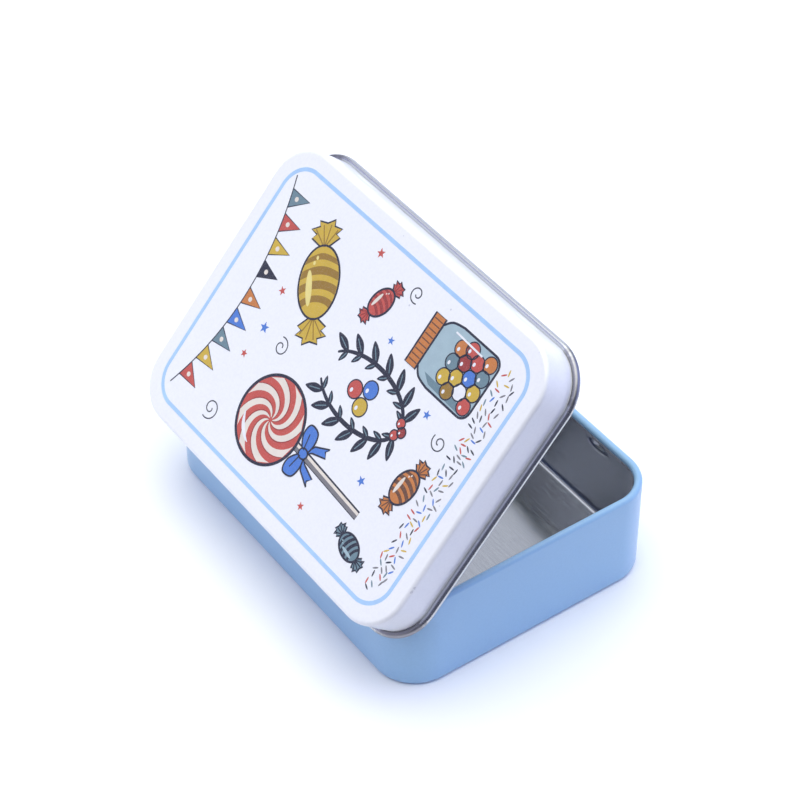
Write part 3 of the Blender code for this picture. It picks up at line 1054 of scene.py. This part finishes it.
class TIN_OT_print_border(bpy.types.Operator):
    """Print the pale blue line round the lid's panel"""
    bl_idname = "tin.print_border"
    bl_label = "Print border line"

    def execute(self, context):
        tin = context.scene.candy_tin
        lid, design = tin.lid, tin.design
        host = bpy.data.meshes.new("border_host")
        mesh = grow("border_line", host, border_tree(), {
            "Width": lid.width - 2 * design.border_margin,
            "Length": lid.length - 2 * design.border_margin,
            "Corner Radius": design.border_radius, "Line Width": design.border_width,
            "Line Height": 2 * design.layer, "Corner Steps": 28,
            "Material": paints()["ink"]})
        tint = mesh.color_attributes.new("ink", "FLOAT_COLOR", "CORNER")
        for corner in tint.data:
            corner.color = (*tin.paint.border, 1)
        form = bmesh.new()
        form.from_mesh(mesh)
        bmesh.ops.recalc_face_normals(form, faces=form.faces)
        form.to_mesh(mesh)
        form.free()
        mesh.shade_flat()
        outset = lid.bead_radius - tin.sheet.thickness
        middle = Matrix.Translation((outset + lid.width / 2, 0, lid.panel_height))
        new_object("border_line", mesh, "lid", LID_PLACE @ middle)
        return {"FINISHED"}


class TIN_OT_print_motifs(bpy.types.Operator):
    """Print the sweets, leaves, flags and stars on the lid's panel"""
    bl_idname = "tin.print_motifs"
    bl_label = "Print motifs"

    def execute(self, context):
        tin = context.scene.candy_tin
        lid, design = tin.lid, tin.design
        left = lid.bead_radius - tin.sheet.thickness + design.border_margin + 1.2 * MM
        mesh = draw_card().mesh("print_motifs", left, lid.panel_height, design.layer)
        mesh.materials.append(paints()["ink"])
        new_object("print_motifs", mesh, "lid", LID_PLACE)
        return {"FINISHED"}


class TIN_OT_print_sprinkles(bpy.types.Operator):
    """Print a scatter of small sprinkles along the foot of the lid's panel"""
    bl_idname = "tin.print_sprinkles"
    bl_label = "Print sprinkles"

    def execute(self, context):
        tin = context.scene.candy_tin
        lid, design = tin.lid, tin.design
        patch = bpy.data.meshes.new("sprinkle_patch")
        x0, x1, y0, y1, cut = 9 * MM, 67 * MM, -43.6 * MM, -38.6 * MM, 3 * MM
        patch.from_pydata([(x0 + cut, y0, 0), (x1 - cut, y0, 0), (x1, y0 + cut, 0),
                           (x1, y1, 0), (x0, y1, 0), (x0, y0 + cut, 0)], [],
                          [(0, 1, 2, 3, 4, 5)])
        mesh = grow("print_sprinkles", patch, sprinkle_tree(), {
            "Count": design.sprinkles, "Seed": design.seed, "Rod Length": design.rod_length,
            "Rod Width": design.rod_width, "Rod Height": 2 * design.layer,
            "Spacing": design.rod_gap,
            "Material": paints()["ink"]})
        lift = Matrix.Translation((0, 0, lid.panel_height))
        new_object("print_sprinkles", mesh, "lid", LID_PLACE @ lift)
        return {"FINISHED"}


class TIN_OT_set_stage(bpy.types.Operator):
    """Set up the pale floor, the soft lights and the camera"""
    bl_idname = "tin.set_stage"
    bl_label = "Set the stage"

    def execute(self, context):
        scene, stage = context.scene, context.scene.candy_tin.stage
        self.lay_floor(stage)
        self.light(scene, stage)
        self.place_camera(scene, stage)
        return {"FINISHED"}

    def lay_floor(self, stage):
        """A pale sheet under the tin, which ends a little in front of what the camera sees."""
        side, front = stage.floor_size, stage.floor_front
        mesh = bpy.data.meshes.new("floor")
        mesh.from_pydata([(-side / 2, -front, 0), (side / 2, -front, 0),
                          (side / 2, side - front, 0), (-side / 2, side - front, 0)],
                         [], [(0, 1, 2, 3)])
        mesh.transform(Matrix.Rotation(CAMERA_TURN, 4, "Z"))
        floor = linked("floor", mesh)
        material, nodes, shader = new_material("pale_floor")
        place = nodes.add("ShaderNodeTexCoord").outputs["Object"]
        tone = blend(nodes, noise(nodes, place, 3.0), linear(249, 249, 251),
                     linear(252, 252, 253))
        nodes.give(shader, {"Base Color": tone, "Roughness": 0.7, "Specular IOR Level": 0.2})
        mesh.materials.append(material)

    def light(self, scene, stage):
        """Soft patches of light above, behind and to both sides, and none from the front.
        The camera sees an even pale backdrop all round."""
        world = bpy.data.worlds.new("soft_sky")
        world.use_nodes = True
        nodes = Nodes(world.node_tree)
        heading = nodes.add("ShaderNodeTexCoord").outputs["Generated"]
        sky = shade((0.95, 1.0, 1.45), stage.even)
        core = cos(radians(7))
        for compass, lift, spread, tint, strength in (
                (0, 90, 46, (0.98, 1.0, 0.89), stage.overhead),
                (50, 18, 45, (0.94, 1.0, 1.12), stage.back),
                (145, 42, 55, (0.94, 0.96, 1.35), stage.left),
                (-30, 25, 44, (0.65, 0.81, 1.72), stage.right)):
            around, up = radians(compass), radians(lift)
            toward = (cos(around) * cos(up), sin(around) * cos(up), sin(up))
            near = nodes.vector("DOT_PRODUCT", heading, toward)
            patch = ramp(nodes, near, cos(radians(spread)), core)
            glow = nodes.vector("MULTIPLY", nodes.join(patch, patch, patch),
                                shade(tint, strength))
            sky = nodes.vector("ADD", glow, sky)
        seen = nodes.add("ShaderNodeLightPath").outputs["Is Camera Ray"]
        backdrop = blend(nodes, seen, sky, linear(250, 251, 254))
        nodes.give(world.node_tree.nodes["Background"], {"Color": backdrop})
        scene.world = world
        scene.view_settings.view_transform = "Standard"

    def place_camera(self, scene, stage):
        """The place and turn that fit the photograph's perspective."""
        turn, lift, roll = CAMERA_TURN, CAMERA_LIFT, CAMERA_ROLL
        back = Vector((sin(turn) * cos(lift), -cos(turn) * cos(lift), sin(lift)))
        level = Vector((cos(turn), sin(turn), 0))
        upright = back.cross(level)
        right = level * cos(roll) + upright * sin(roll)
        top = -level * sin(roll) + upright * cos(roll)
        place = back * CAMERA_BACK + right * CAMERA_RIGHT + top * CAMERA_UP
        camera = linked("camera", bpy.data.cameras.new("camera"))
        camera.data.sensor_width = 36.0
        camera.data.lens = stage.lens
        camera.data.clip_start, camera.data.clip_end = 0.05, 50.0
        camera.matrix_world = Matrix.Translation(place) @ Matrix(
            (right, top, back)).transposed().to_4x4()
        scene.camera = camera


OPERATORS = (TIN_OT_build_base, TIN_OT_build_lugs, TIN_OT_build_lid, TIN_OT_print_border,
             TIN_OT_print_motifs, TIN_OT_print_sprinkles, TIN_OT_set_stage)


class TIN_PT_panel(bpy.types.Panel):
    """Lists the tin's operators and its sizes"""
    bl_idname = "TIN_PT_panel"
    bl_label = "Hinged candy tin"
    bl_space_type = "VIEW_3D"
    bl_region_type = "UI"
    bl_category = "Tin"

    def draw(self, context):
        for operator in OPERATORS:
            self.layout.operator(operator.bl_idname)
        tin = context.scene.candy_tin
        self.layout.prop(tin, "shown")
        if tin.shown:
            for group in (tin.sheet, tin.base, tin.lid, tin.paint, tin.design, tin.stage):
                box = self.layout.box()
                for name in group.bl_rna.properties.keys():
                    if name not in ("rna_type", "name"):
                        box.prop(group, name)


CLASSES = (SheetSettings, BaseSettings, LidSettings, PaintSettings, PrintSettings,
           StageSettings, TinSettings) + OPERATORS + (TIN_PT_panel,)


def register():
    for each in CLASSES:
        bpy.utils.register_class(each)
    bpy.types.Scene.candy_tin = PointerProperty(type=TinSettings, name="Candy tin",
                                                description="The tin's sizes and colours")


def unregister():
    del bpy.types.Scene.candy_tin
    for each in reversed(CLASSES):
        bpy.utils.unregister_class(each)


def main():
    register()
    for operator in OPERATORS:
        group, name = operator.bl_idname.split(".")
        getattr(getattr(bpy.ops, group), name)()


if __name__ == "__main__":
    main()
